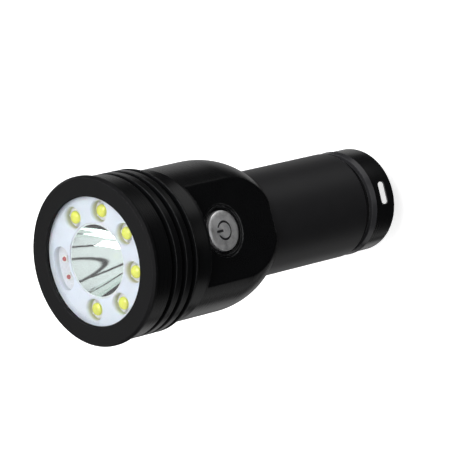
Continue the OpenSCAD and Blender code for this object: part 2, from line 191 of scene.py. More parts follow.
def bridge(bm, one, two):
    """Faces between two rings of points; either ring may be a single point on the axis."""
    count = max(len(one), len(two))
    for i in range(count if count > 1 else 0):
        corners = [one[i % len(one)], one[(i + 1) % len(one)], two[(i + 1) % len(two)], two[i % len(two)]]
        bm.faces.new(list(dict.fromkeys(corners)))


def lathe(outline, steps=STEPS, angles=None, shape=None):
    """Solid of revolution of a closed outline of (r, z). shape(r, z, angle) may change each point."""
    bm = bmesh.new()
    angles = angles or [TURN * k / steps for k in range(steps)]
    rings = []
    for r, z in outline:
        if r < 1e-6:
            rings.append([bm.verts.new((0, 0, z * MM))])
            continue
        ring = []
        for a in angles:
            rr, zz = shape(r, z, a) if shape else (r, z)
            ring.append(bm.verts.new((rr * math.cos(a) * MM, rr * math.sin(a) * MM, zz * MM)))
        rings.append(ring)
    for one, two in zip(rings, rings[1:] + rings[:1]):
        bridge(bm, one, two)
    bmesh.ops.recalc_face_normals(bm, faces=bm.faces)
    return bm


def disc(size, low_fillet, high_fillet, steps=96):
    """Disc in a turned node's place, with both its edges rounded."""
    r, low, high = size
    return lathe(rounded([(0, low, 0), (r, low, low_fillet), (r, high, high_fillet), (0, high, 0)]), steps)


def hoop(inner, size, low_fillet, high_fillet, steps=STEPS):
    """Flat ring in a turned node's place, with its edges rounded."""
    r, low, high = size
    return lathe(rounded([(inner, low, low_fillet), (inner, high, high_fillet),
                          (r, high, high_fillet), (r, low, low_fillet)]), steps)


def hole(radius, low, high, x=0, y=0, steps=32):
    """Cylinder that cuts a round hole."""
    return shifted(lathe([(0, low), (radius, low), (radius, high), (0, high)], steps), x=x, y=y)


def arc(radius, start, sweep, steps, centre=(0, 0)):
    """Points of an arc from a start angle through a sweep, both ends included."""
    angles = [start + sweep * k / steps for k in range(steps + 1)]
    return [(centre[0] + radius * math.cos(a), centre[1] + radius * math.sin(a)) for a in angles]


def seal_groove(r, z):
    """Corners of an O-ring groove round a wall, from below upwards."""
    return [(r, z - 0.65, 0.05), (r - 1, z - 0.65, 0.15), (r - 1, z + 0.65, 0.15), (r, z + 0.65, 0.05)]


def block(size, centre, bevel, segments=2):
    """Box with bevelled edges; size and centre in millimetres."""
    bm = bmesh.new()
    bmesh.ops.create_cube(bm, size=1)
    bmesh.ops.scale(bm, vec=Vector(size) * MM, verts=bm.verts)
    bmesh.ops.translate(bm, vec=Vector(centre) * MM, verts=bm.verts)
    bmesh.ops.bevel(bm, geom=bm.edges[:], offset=bevel * MM, segments=segments, profile=0.5, affect="EDGES")
    return bm


def node_block(node, bevel):
    """Block that fills a CAD node's box."""
    low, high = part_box(node)
    return block(tuple((high - low) / MM), tuple((high + low) / 2 / MM), bevel)


def prism(points, bottom, top):
    """Straight solid over a flat outline of (x, y) points."""
    bm = bmesh.new()
    low = [bm.verts.new((x * MM, y * MM, bottom * MM)) for x, y in points]
    high = [bm.verts.new((x * MM, y * MM, top * MM)) for x, y in points]
    bm.faces.new(low[::-1])
    bm.faces.new(high)
    bridge(bm, low, high)
    bmesh.ops.recalc_face_normals(bm, faces=bm.faces)
    return bm


def wire(path, radius):
    """Round wire along a path of points in millimetres, with rounded ends."""
    points = [Vector(p) for p in path]
    bm = bmesh.new()
    rings = []
    side = None
    for i, p in enumerate(points):
        ahead = points[min(i + 1, len(points) - 1)] - points[max(i - 1, 0)]
        ahead.normalize()
        if side is None:
            side = ahead.orthogonal().normalized()
        side = (side - ahead * side.dot(ahead)).normalized()
        rings.append((p, ahead, side.copy(), ahead.cross(side)))
    loops = []

    def add_ring(p, s, u, r):
        angles = [TURN * k / WIRE_SIDES for k in range(WIRE_SIDES)]
        loops.append([bm.verts.new((p + (s * math.cos(a) + u * math.sin(a)) * r) * MM) for a in angles])

    def end_ring(ring, share, reach):
        """Smaller ring, past the wire's end; reach is the radius, or less than 0 at the start."""
        p, ahead, s, u = ring
        add_ring(p + ahead * reach * math.sqrt(1 - share * share) * 0.6, s, u, radius * share)

    for share in (0.35, 0.8):
        end_ring(rings[0], share, -radius)
    for p, _, s, u in rings:
        add_ring(p, s, u, radius)
    for share in (0.8, 0.35):
        end_ring(rings[-1], share, radius)
    for one, two in zip(loops, loops[1:]):
        bridge(bm, one, two)
    bm.faces.new(loops[0][::-1])
    bm.faces.new(loops[-1])
    bmesh.ops.recalc_face_normals(bm, faces=bm.faces)
    return bm


def coil(turns, r0, r1, z0, z1, closed):
    """Path of a coil spring along Z whose end turns lie nearly flat."""
    path = []
    total = round(turns * 48)
    for k in range(total + 1):
        f = k / total
        t = f * turns
        lift = smooth(min(max((t - closed * 0.6) / max(turns - 1.2 * closed, 0.1), 0), 1))
        a = t * TURN
        r = r0 + (r1 - r0) * f
        path.append((r * math.cos(a), r * math.sin(a), z0 + (z1 - z0) * (0.25 * f + 0.75 * lift)))
    return path


def smooth(x):
    x = min(max(x, 0.0), 1.0)
    return x * x * (3 - 2 * x)


def moved(bm, matrix):
    bmesh.ops.transform(bm, matrix=matrix, verts=bm.verts)
    return bm


def shifted(bm, x=0, y=0, z=0):
    return moved(bm, Matrix.Translation(Vector((x, y, z)) * MM))


def spun(bm, angle):
    return moved(bm, Matrix.Rotation(angle, 4, "Z"))


def at_lamp(bm, angle):
    """Moves a mesh from the axis to the lamp circle, at an angle from the switch side."""
    return spun(shifted(bm, x=LAMP_CIRCLE), angle - QUARTER)


def to_switch(bm):
    """Turns a mesh drawn along +Z so that its height becomes the distance outwards on the switch side."""
    turn = Matrix.Translation((0, 0, SWITCH_Z * MM)) @ Matrix.Rotation(QUARTER, 4, "X")
    return moved(bm, turn)


def joined(parts):
    """One bmesh that holds all the parts."""
    whole = bmesh.new()
    for part in parts:
        mesh = bpy.data.meshes.new("part")
        part.to_mesh(mesh)
        part.free()
        whole.from_mesh(mesh)
        bpy.data.meshes.remove(mesh)
    return whole


def in_scene(name, data):
    o = bpy.data.objects.new(name, data)
    bpy.context.scene.collection.objects.link(o)
    return o


def as_object(bm, name):
    mesh = bpy.data.meshes.new(name)
    bm.to_mesh(mesh)
    bm.free()
    return in_scene(name, mesh)


def cut(bm, cutters):
    """The solid with the cutters taken away."""
    body = as_object(bm, "cut_body")
    tool = as_object(joined(cutters), "cut_tool")
    step = body.modifiers.new("cut", "BOOLEAN")
    step.operation = "DIFFERENCE"
    step.solver = "EXACT"
    step.use_self = len(cutters) > 1
    step.object = tool
    bpy.context.view_layer.update()
    made = body.evaluated_get(bpy.context.evaluated_depsgraph_get())
    result = bmesh.new()
    result.from_mesh(made.to_mesh())
    made.to_mesh_clear()
    for o in (body, tool):
        mesh = o.data
        bpy.data.objects.remove(o)
        bpy.data.meshes.remove(mesh)
    bmesh.ops.remove_doubles(result, verts=result.verts, dist=0.0005 * MM)
    return result


FINISHES = {}


def piece(name, bm, body, slot, *nodes):
    """Makes a shown piece that rides on a body, takes its finish from a slot and stands for CAD nodes."""
    o = as_object(bm, name)
    o.data.shade_smooth()
    o.data.set_sharp_from_angle(angle=SHARP_ANGLE)
    o.data.materials.append(FINISHES[slot])
    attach(o, body)
    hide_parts(*nodes)
    return o


# ---- Finishes


class Nodes:
    """A node tree, with short ways to add to it. A value is a number, a colour, a vector or a socket."""

    def __init__(self, tree):
        self.tree = tree

    def node(self, kind, **settings):
        n = self.tree.nodes.new(kind)
        for key, value in settings.items():
            setattr(n, key, value)
        return n

    def put(self, socket, value):
        if isinstance(value, bpy.types.NodeSocket):
            self.tree.links.new(value, socket)
        else:
            socket.default_value = value

    def math(self, operation, a, b=0.0, clamp=False):
        n = self.node("ShaderNodeMath", operation=operation, use_clamp=clamp)
        self.put(n.inputs[0], a)
        self.put(n.inputs[1], b)
        return n.outputs[0]

    def length(self, a, b):
        return self.math("SQRT", self.math("ADD", self.math("MULTIPLY", a, a), self.math("MULTIPLY", b, b)))

    def vector(self, operation, a, b):
        n = self.node("ShaderNodeVectorMath", operation=operation)
        self.put(n.inputs[0], a)
        self.put(n.inputs["Scale" if operation == "SCALE" else 1], b)
        return n.outputs["Value" if operation == "DOT_PRODUCT" else 0]

    def apart(self, vector):
        """The x, y and z of a vector."""
        n = self.node("ShaderNodeSeparateXYZ")
        self.put(n.inputs[0], vector)
        return n.outputs

    def ranged(self, value, low, high, to_high=1.0):
        """0 where the value is low, to_high where it is high, and smooth between."""
        n = self.node("ShaderNodeMapRange", interpolation_type="SMOOTHSTEP")
        for i, v in enumerate((value, low, high, 0.0, to_high)):
            self.put(n.inputs[i], v)
        return n.outputs[0]


class Finish(Nodes):
    """A procedural material: one Principled shader and the nodes that feed it."""

    def __init__(self, name, colour, metallic=0.0, roughness=0.4, **sockets):
        self.material = bpy.data.materials.new(name)
        self.material.use_nodes = True
        super().__init__(self.material.node_tree)
        self.shader = self.tree.nodes["Principled BSDF"]
        self.shader.inputs["Base Color"].default_value = (*colour, 1)
        self.shader.inputs["Metallic"].default_value = metallic
        self.shader.inputs["Roughness"].default_value = roughness
        for socket, value in sockets.items():
            self.shader.inputs[socket.replace("_", " ")].default_value = value
        self.colour = self.constant("ShaderNodeRGB", (*colour, 1))
        self.rough = self.constant("ShaderNodeValue", roughness)
        self.place = self.node("ShaderNodeTexCoord").outputs["Object"]
        self.normal = None
        FINISHES[name] = self.material

    def constant(self, kind, value):
        n = self.node(kind)
        n.outputs[0].default_value = value
        return n.outputs[0]

    def noise(self, per_mm, detail=2.0, stretch=(1, 1, 1), place=None):
        """Noise value with that many cells to a millimetre."""
        cells = self.vector("MULTIPLY", place or self.place, tuple(per_mm / MM * s for s in stretch))
        n = self.node("ShaderNodeTexNoise")
        n.inputs["Scale"].default_value = 1.0
        n.inputs["Detail"].default_value = detail
        self.put(n.inputs["Vector"], cells)
        return n.outputs[0]

    def turned_place(self, axis="Z", centre=(0, 0, 0)):
        """Coordinates that run outwards, along the axis and only slightly round it, as a lathe's marks do."""
        x, y, z = self.apart(self.vector("SUBTRACT", self.place, tuple(c * MM for c in centre)))
        across, second, along = (x, y, z) if axis == "Z" else (x, z, y)
        out = self.length(across, second)
        round_it = self.math("MULTIPLY", self.math("ARCTAN2", second, across), 0.02 * MM)
        joined_up = self.node("ShaderNodeCombineXYZ")
        self.put(joined_up.inputs[0], out)
        self.put(joined_up.inputs[1], along)
        self.put(joined_up.inputs[2], round_it)
        return joined_up.outputs[0]

    def tint(self, mask, colour, amount=1.0):
        """Lays a colour over the finish where the mask is 1."""
        n = self.node("ShaderNodeMix", data_type="RGBA")
        self.put(n.inputs[0], self.math("MULTIPLY", mask, amount, clamp=True))
        self.put(n.inputs[6], self.colour)
        self.put(n.inputs[7], (*colour, 1))
        self.colour = n.outputs[2]

    def vary(self, value, colour_share=0.0, rough_share=0.0):
        """Makes the finish lighter and rougher where a noise value is high."""
        centred = self.math("SUBTRACT", value, 0.5)
        if colour_share:
            share = self.math("ADD", self.math("MULTIPLY", centred, colour_share), 1.0)
            self.colour = self.vector("SCALE", self.colour, share)
        if rough_share:
            self.rough = self.math("ADD", self.rough, self.math("MULTIPLY", centred, rough_share), clamp=True)

    def bump(self, height, depth_mm):
        n = self.node("ShaderNodeBump")
        n.inputs["Strength"].default_value = 1.0
        n.inputs["Distance"].default_value = depth_mm * MM
        self.put(n.inputs["Height"], height)
        if self.normal is not None:
            self.put(n.inputs["Normal"], self.normal)
        self.normal = n.outputs[0]

    def edges(self, width_mm):
        """A mask of the mesh's convex and concave edges."""
        bevel = self.node("ShaderNodeBevel", samples=4)
        bevel.inputs["Radius"].default_value = width_mm * MM
        plain = self.node("ShaderNodeNewGeometry").outputs["Normal"]
        return self.ranged(self.vector("DOT_PRODUCT", bevel.outputs[0], plain), 0.995, 0.93)

    def done(self):
        self.put(self.shader.inputs["Base Color"], self.colour)
        self.put(self.shader.inputs["Roughness"], self.rough)
        if self.normal is not None:
            self.put(self.shader.inputs["Normal"], self.normal)


def anodised(name, colour, roughness, turning, grain, band=None, **sockets):
    """Black anodised aluminium: lathe marks, a fine etched grain, and thin lighter edges that are partly wear
    and partly a painted edge highlight.

    band is a bottom, a top and a colour for a painted highlight: a ring lighter than the rest, standing in
    for the light that the cap's rim catches.
    """
    f = Finish(name, colour, roughness=roughness, IOR=1.55, **sockets)
    # Painted highlight: the band is coloured lighter where the cap's rim catches light.
    if band:
        bottom, top, lighter = band
        height = f.apart(f.place)[2]
        above = f.ranged(height, (bottom - 0.1) * MM, bottom * MM)
        below = f.ranged(height, (top + 0.1) * MM, top * MM)
        f.tint(f.math("MULTIPLY", above, below), lighter)
    marks = f.noise(9, detail=3, place=f.turned_place())
    speckle = f.noise(14, detail=2)
    patches = f.noise(0.12, detail=3)
    f.vary(patches, colour_share=0.35, rough_share=0.05)
    f.vary(marks, colour_share=0.25, rough_share=0.08)
    f.vary(speckle, colour_share=0.3)
    # Lighter edges: partly rubbed-through wear, partly a painted highlight where the edges catch light.
    edge_wear_and_highlight = f.math("MULTIPLY", f.edges(0.22), f.ranged(f.noise(0.9, detail=4), 0.35, 0.62))
    f.tint(edge_wear_and_highlight, (0.075, 0.077, 0.082), 0.8)
    f.bump(marks, turning)
    f.bump(speckle, grain)
    f.done()


def metal(name, colour, roughness, turning=0.0015, metallic=1.0):
    """Bare machined metal with lathe marks and small stains."""
    f = Finish(name, colour, metallic=metallic, roughness=roughness)
    marks = f.noise(8, detail=3, place=f.turned_place())
    f.vary(f.noise(0.25, detail=4), colour_share=0.18, rough_share=0.12)
    f.vary(marks, colour_share=0.1, rough_share=0.12)
    f.bump(marks, turning)
    f.done()


def moulded(name, colour, roughness, pebble=0.002, **sockets):
    """Moulded plastic or rubber with a fine even texture."""
    f = Finish(name, colour, roughness=roughness, **sockets)
    f.vary(f.noise(0.3, detail=3), colour_share=0.08, rough_share=0.08)
    fine = f.noise(7, detail=2)
    f.vary(fine, colour_share=0.06)
    f.bump(fine, pebble)
    f.done()


def circuit_board(name, colour, copper):
    """Solder mask over copper tracks that show as slightly lighter, raised areas."""
    f = Finish(name, colour, roughness=0.35, Coat_Weight=0.2)
    cells = f.node("ShaderNodeTexVoronoi", distance="MANHATTAN", feature="DISTANCE_TO_EDGE")
    f.put(cells.inputs["Vector"], f.vector("SCALE", f.place, 0.55 / MM))
    cells.inputs["Scale"].default_value = 1.0
    tracks = f.ranged(cells.outputs["Distance"], 0.03, 0.06)
    f.tint(tracks, copper, 0.6)
    f.vary(f.noise(6, detail=2), colour_share=0.08, rough_share=0.1)
    f.bump(tracks, 0.02)
    f.done()


def brushed_steel():
    """Stainless button, turned on its own axis, with fine scratches and painted light and dark patches that
    stand in for the streaky reflections of its turned face.
    """
    f = Finish("button_steel", (0.9, 0.9, 0.91), metallic=0.8, roughness=0.34)
    centre = (0, -BUTTON_FACE, SWITCH_Z)
    rings = f.noise(7, detail=3, place=f.turned_place("Y", centre))
    f.vary(rings, colour_share=0.3, rough_share=0.14)
    # Painted reflection: broad lighter and darker patches standing in for the turned face's streaky
    # highlights.
    f.vary(f.noise(0.4, detail=3), colour_share=1.3, rough_share=0.2)
    scratches = f.ranged(f.noise(2.5, detail=1, stretch=(0.15, 1, 6)), 0.68, 0.72)
    f.tint(scratches, (0.45, 0.45, 0.46), 0.35)
    f.bump(rings, 0.006)
    f.done()


def mirror():
    """Vacuum-coated reflector: nearly perfect, with a little orange peel and haze."""
    f = Finish("reflector_chrome", (0.86, 0.91, 0.88), metallic=1.0, roughness=0.06)
    f.vary(f.noise(0.6, detail=3), colour_share=0.04, rough_share=0.05)
    f.bump(f.noise(0.5, detail=1), 0.012)
    f.done()


def clear_glass():
    """Toughened front glass that light passes straight through. Its values are plain, with no nodes."""
    material = bpy.data.materials.new("clear_glass")
    material.use_nodes = True
    shader = material.node_tree.nodes["Principled BSDF"]
    for socket, value in (("Base Color", (0.97, 0.98, 1.0, 1)), ("Roughness", 0.0), ("IOR", 1.5),
                          ("Transmission Weight", 1.0)):
        shader.inputs[socket].default_value = value
    FINISHES["clear_glass"] = material


def phosphor():
    """Yellow phosphor under a clear silicone dome."""
    f = Finish("led_phosphor", (0.9, 0.93, 0.045), roughness=0.1, IOR=1.41, Coat_Weight=0.6,
               Subsurface_Weight=0.35, Subsurface_Scale=0.0006)
    f.shader.inputs["Subsurface Radius"].default_value = (1.0, 0.9, 0.25)
    f.shader.inputs["Coat Roughness"].default_value = 0.03
    f.vary(f.noise(5, detail=2), colour_share=0.15)
    f.done()


def lamp_cover_white():
    """White plastic with painted light and shade: the lamp pocket walls are tinted dark yellow-green for
    their shade and the yellow light the lamp domes cast on them, and the arc window's wall blue-grey for its
    shadow.
    """
    f = Finish("white_plastic", (0.8, 0.86, 0.93), roughness=0.34, Subsurface_Weight=0.08,
               Subsurface_Scale=0.0008)
    f.vary(f.noise(0.3, detail=3), colour_share=0.08, rough_share=0.08)
    x, y, z = f.apart(f.place)
    out = f.length(x, y)
    deep = f.ranged(z, (PLATE.high - 0.1) * MM, (PLATE.high - 1.6) * MM)
    lamp_pocket_shade_mask = f.math("MULTIPLY", f.ranged(out, 11.7 * MM, 12.1 * MM), f.ranged(y, 11 * MM, 9.5 * MM))
    # Painted shade, with the yellow light of the lamp domes, on the lamp pocket walls.
    f.tint(f.math("MULTIPLY", deep, lamp_pocket_shade_mask), (0.36, 0.37, 0.05), 0.8)
    # Painted shadow on the wall of the arc window.
    f.tint(f.math("MULTIPLY", deep, f.ranged(y, 10.5 * MM, 11.5 * MM)), (0.42, 0.47, 0.48), 0.5)
    f.bump(f.noise(7, detail=2), 0.001)
    f.done()


def wrapper():
    """Heat-shrunk film with long faint wrinkles."""
    f = Finish("wrapper_blue", (0.012, 0.09, 0.3), roughness=0.28, Coat_Weight=0.4)
    wrinkles = f.noise(0.5, detail=4, stretch=(1, 1, 0.12))
    f.vary(wrinkles, colour_share=0.2, rough_share=0.15)
    f.bump(wrinkles, 0.05)
    f.done()


def make_finishes():
    anodised("head_black", (0.003, 0.0031, 0.0034), 0.28, 0.0022, 0.0005, Specular_IOR_Level=0.27)
    anodised("bezel_black", (0.0042, 0.0042, 0.0046), 0.46, 0.0016, 0.0012, Specular_IOR_Level=0.14)
    anodised("tube_black", (0.0095, 0.0095, 0.0105), 0.45, 0.0014, 0.0012)
    # The cap's band is a painted highlight on its rim.
    anodised("cap_black", (0.004, 0.0041, 0.0045), 0.25, 0.0018, 0.0005, Specular_IOR_Level=0.4,
             band=(CAP_HEIGHT - 1.6, CAP_HEIGHT, (0.024, 0.024, 0.026)))
    metal("bare_aluminium", (0.78, 0.79, 0.81), 0.32)
    metal("steel", (0.62, 0.63, 0.65), 0.28)
    metal("brass", (0.86, 0.62, 0.26), 0.26)
    brushed_steel()
    mirror()
    clear_glass()
    phosphor()
    wrapper()
    moulded("icon_dark", (0.012, 0.012, 0.014), 0.5)
    lamp_cover_white()
    circuit_board("board_white", (0.8, 0.81, 0.83), (0.68, 0.69, 0.71))
    circuit_board("board_green", (0.012, 0.12, 0.05), (0.03, 0.2, 0.08))
    moulded("chip_black", (0.018, 0.018, 0.02), 0.5, pebble=0.006)
    moulded("led_ceramic", (0.82, 0.82, 0.78), 0.5)
    moulded("led_red", (0.5, 0.045, 0.04), 0.14, pebble=0.0, Coat_Weight=0.6)
    moulded("seal_rubber", (0.014, 0.014, 0.014), 0.55, pebble=0.003)
    moulded("wire_red", (0.42, 0.012, 0.014), 0.42)


# ---- Head, bezel and glass


def flat_limit(z):
    """Distance from the axis that the milled flat leaves at a height, rising steeply in front of it."""
    corner = 0.3
    if z <= FLAT_FRONT - corner:
        return FLAT_DEPTH
    if z <= FLAT_FRONT:
        rise = z - (FLAT_FRONT - corner)
        return FLAT_DEPTH + corner - math.sqrt(max(corner * corner - rise * rise, 0))
    return FLAT_DEPTH + corner + (z - FLAT_FRONT) * 40


def with_flat(r, z, angle):
    """Brings a point of the head down to the flat, with a small round along the flat's edge."""
    toward = -math.sin(angle)
    if toward < 0.3 or r < FLAT_DEPTH - 2:
        return r, z
    limit = flat_limit(z) / toward
    blend = 0.35
    overlap = max(blend - abs(r - limit), 0) / blend
    return min(r, limit) - overlap * overlap * blend / 4, z


def flat_angles():
    """Angles round the head, close together where the flat is."""
    fine, coarse, half = math.radians(0.5), math.radians(2.5), math.radians(50)
    front = -QUARTER
    count = round(2 * half / fine)
    rest = round((TURN - 2 * half) / coarse)
    return ([front - half + 2 * half * k / count for k in range(count)]
            + [front + half + (TURN - 2 * half) * k / rest for k in range(rest)])


def head_outline():
    corners = [(SKIRT_OUT + 0.05, HEAD.high, 0.1), (HEAD.r, HEAD.high, 0.4)]
    floor = HEAD.r - GROOVE_DEPTH
    for k in range(GROOVES):
        top = HEAD.high - GROOVE_START - GROOVE_PITCH * k
        corners += [(HEAD.r, top, 0.22), (floor, top - 0.3, 0.3),
                    (floor, top - (GROOVE_WIDTH - 0.3), 0.3), (HEAD.r, top - GROOVE_WIDTH, 0.22)]
    fins_end = HEAD.high - FINS_LEN
    neck_end = FLAT_FRONT + 1
    corners += [(HEAD.r, fins_end + 0.5, 0.2), (HEAD.r - 0.5, fins_end, 0.2), (NECK_R, fins_end - 0.7, 0.3),
                (SECTION_R, neck_end, 1.2)]
    start = SHOULDER_END + SHOULDER_LEN
    drop = SECTION_R - REAR_R
    radius = (drop * drop + SHOULDER_LEN * SHOULDER_LEN) / (2 * drop)
    sweep = math.asin(SHOULDER_LEN / radius)
    angles = [sweep * k / 28 for k in range(28)]
    curve = [(SECTION_R - radius * (1 - math.cos(a)), start - radius * math.sin(a), 0) for a in angles]
    cell_top = turned("cell_can").high + 0.1
    rear = [(REAR_R, SHOULDER_END, 0.15), (REAR_R - 0.4, HEAD.low, 0.1), (SOCKET_R, HEAD.low, 0.15),
            (SOCKET_R, SHOULDER_END + 9.9, 0), (BORE_R, SHOULDER_END + 9.9, 0.1),
            (BORE_R, cell_top, 0), (DRIVER_BORE_R, cell_top, 0.1),
            (DRIVER_BORE_R, PLATFORM.low, 0), (CAVITY_R, PLATFORM.low, 0.1), (CAVITY_R, GLASS.low, 0.1),
            (SKIRT_IN - 0.1, GLASS.low, 0), (SKIRT_IN - 0.1, BEZEL.low - 0.1, 0),
            (SKIRT_OUT + 0.05, BEZEL.low - 0.1, 0)]
    outline = denser(rounded(corners + curve + rear), 0.65, HEAD.low - 1, FLAT_FRONT - 0.4)
    step = []
    for (r, z), (_, z_next) in zip(outline, outline[1:]):
        step.append((r, z))
        if r > SECTION_R - 2 and z > FLAT_FRONT >= z_next:
            step += [(SECTION_R, FLAT_FRONT + rise) for rise in (0.2, 0.12, 0, -0.03, -0.1, -0.2, -0.3)]
    step.append(outline[-1])
    return step


def tapped_hole(radius, depth, pitch, sink):
    """Cutter for a tapped hole along -Z from the origin, with a countersink."""
    root = radius + 0.45
    rim = root + 0.15
    corners = [(0, -depth), (radius, -depth), (radius, -0.4), (rim, 0), (rim, sink), (0, sink)]

    def helix(r, z, angle):
        if abs(r - radius) > 1e-6 or not -depth + 0.5 < z < -0.3:
            return r, z
        return r + 0.42 * ridge(z / pitch - angle / TURN), z

    return lathe(denser(corners, 0.12, -depth, -0.4), 64, shape=helix)


def ridge(turns):
    """Height of a thread from 0 at its root to 1 on its crest, at a number of turns along it."""
    part = turns % 1.0
    return min(max((1 - abs(2 * part - 1) - 0.28) / 0.44, 0), 1)


def sharpen_plane(mesh, depth):
    """Marks the outline of the faces that lie flat at a distance along +Y, so that they shade as a plane."""
    uses = {}
    for face in mesh.polygons:
        if all(abs(mesh.vertices[v].co.y - depth * MM) < 0.001 * MM for v in face.vertices):
            for key in face.edge_keys:
                uses[key] = uses.get(key, 0) + 1
    for line in mesh.edges:
        if uses.get(line.key) == 1:
            line.use_edge_sharp = True


def make_head():
    shell = lathe(head_outline(), angles=flat_angles(), shape=with_flat)
    plunger_hole_r = 2.95
    switch_hole = [(0, SWITCH_FLOOR - 3), (0, FLAT_DEPTH + 3), (SWITCH_HOLE_R + 1.2, FLAT_DEPTH + 3),
                   (SWITCH_HOLE_R + 0.4, FLAT_DEPTH), (SWITCH_HOLE_R, FLAT_DEPTH - 0.4),
                   (SWITCH_HOLE_R, SWITCH_FLOOR), (plunger_hole_r, SWITCH_FLOOR),
                   (plunger_hole_r, SWITCH_FLOOR - 3)]
    pad = [(0, 0), (PAD_R - 0.3, 0), (PAD_R, 0.3), (PAD_R, 5), (0, 5)]
    turn = Matrix.Translation(Vector((0, PAD_DEPTH, PAD_Z)) * MM) @ Matrix.Rotation(-QUARTER, 4, "X")
    for cutter in (to_switch(lathe(switch_hole, 128)), moved(lathe(pad, 128), turn),
                   moved(tapped_hole(BRACKET_HOLE_R, BRACKET_HOLE_DEPTH, BRACKET_PITCH, 2), turn)):
        shell = cut(shell, [cutter])
    head = piece("head_shell", shell, "torch", "head_black", "head_housing")
    sharpen_plane(head.data, PAD_DEPTH)


def make_bezel():
    under = GLASS.high
    groove = HEAD.high - 1.3
    top, r = BEZEL.high, BEZEL.r
    corners = [(APERTURE_R, under, 0.05), (APERTURE_R, top - 0.4, 0.15), (APERTURE_R + 0.4, top, 0.15),
               (r - 0.7, top, 0.2), (r, top - 0.7, 0.2), (r, top - 1.5, 0.1), (r - 0.3, top - 1.8, 0.08),
               (SKIRT_OUT, top - 1.8, 0.1),
               (SKIRT_OUT, groove + 0.6, 0.05), (SKIRT_OUT - 0.8, groove + 0.6, 0.1),
               (SKIRT_OUT - 0.8, groove - 0.6, 0.1), (SKIRT_OUT, groove - 0.6, 0.05),
               (SKIRT_OUT, BEZEL.low, 0.3), (SKIRT_IN, BEZEL.low, 0.2), (SKIRT_IN, under, 0.05)]
    piece("bezel_ring", lathe(rounded(corners), 256), "torch", "bezel_black", "front_bezel")


def make_glass():
    piece("glass_disc", disc(GLASS, 0.3, 0.3, 128), "torch", "clear_glass", "front_glass")


def make_seal(name, node, body, centre_r, cord_r, heights):
    rings = [lathe(arc(cord_r, 0, TURN, 16, (centre_r, z))[:-1], 128) for z in heights]
    piece(name, joined(rings), body, "seal_rubber", node)


def make_front_seals():
    make_seal("glass_o_ring", "glass_seal", "torch", GLASS.r + 0.45, 0.4, [GLASS.low + 0.4])
    make_seal("bezel_o_ring", "bezel_seal", "torch", SKIRT_OUT - 0.4, 0.4, [HEAD.high - 1.3])


# ---- Lamps behind the glass


def arc_slot(radius, wide, angle, bottom, top):
    """Curved slot with round ends, on the side away from the switch."""
    low, high = QUARTER - angle / 2, QUARTER + angle / 2
    ends = [(radius * math.cos(a), radius * math.sin(a)) for a in (high, low)]
    points = (arc(radius + wide, low, angle, 24) + arc(wide, high, math.pi, 16, ends[0])[1:-1]
              + arc(radius - wide, high, -angle, 24) + arc(wide, low + math.pi, math.pi, 16, ends[1])[1:-1])
    return prism(points, bottom, top)


def make_face_plate():
    plate = hoop(REFLECTOR.r + 0.05, PLATE, 0.1, 0.25)
    low, high = PLATE.low - 0.5, PLATE.high + 0.5
    floor_r, wall_r, rim_r = 3.05, 3.4, 3.6
    cone = [(0, low), (floor_r, low), (wall_r, PLATE.high - 0.2), (rim_r, PLATE.high + 0.02), (rim_r, high),
            (0, high)]
    plate = cut(plate, [at_lamp(lathe(cone, 64), a) for a in WHITE_LAMPS])
    plate = cut(plate, [arc_slot(15.4, 3.2, math.radians(28), low, high)])
    piece("lamp_cover", plate, "torch", "white_plastic", "face_plate")


def cross_screw(radius, head_r, head_h, length, top, flat_head):
    """Small cross-recess screw with its top at a height."""
    end = top - length if flat_head else top - head_h - length
    rim = [(head_r, top, 0.08)] if flat_head else [(head_r, top, 0.3), (head_r, top - head_h, 0.05)]
    corners = [(0, top, 0)] + rim + [(radius, top - head_h, 0), (radius, end, 0.2), (0, end, 0)]
    body = lathe(rounded(corners), 48)
    slot_len, slot_w = head_r * 1.3, 0.38
    bars = [block((*flat, 1), (0, 0, top + 0.1), 0.03) for flat in ((slot_len, slot_w), (slot_w, slot_len))]
    return cut(body, bars)


def led_package(width, height, bottom):
    """Square lamp package with bevelled edges, standing on two solder pads."""
    pad = 0.12
    parts = [block((width, width, height - pad), (0, 0, bottom + pad + (height - pad) / 2), pad)]
    parts += [block((width * 0.92, width * 0.36, pad), (0, side * width * 0.26, bottom + pad / 2), 0.02)
              for side in (1, -1)]
    return joined(parts)


def dome(radius, height, bottom):
    """Lens dome."""
    angles = [QUARTER * k / 14 for k in range(14)]
    curve = [(radius * math.cos(a), bottom + height * math.sin(a)) for a in angles]
    foot = bottom - 0.02
    return lathe([(0, foot), (radius + 0.02, foot)] + curve + [(0, bottom + height)], 48)


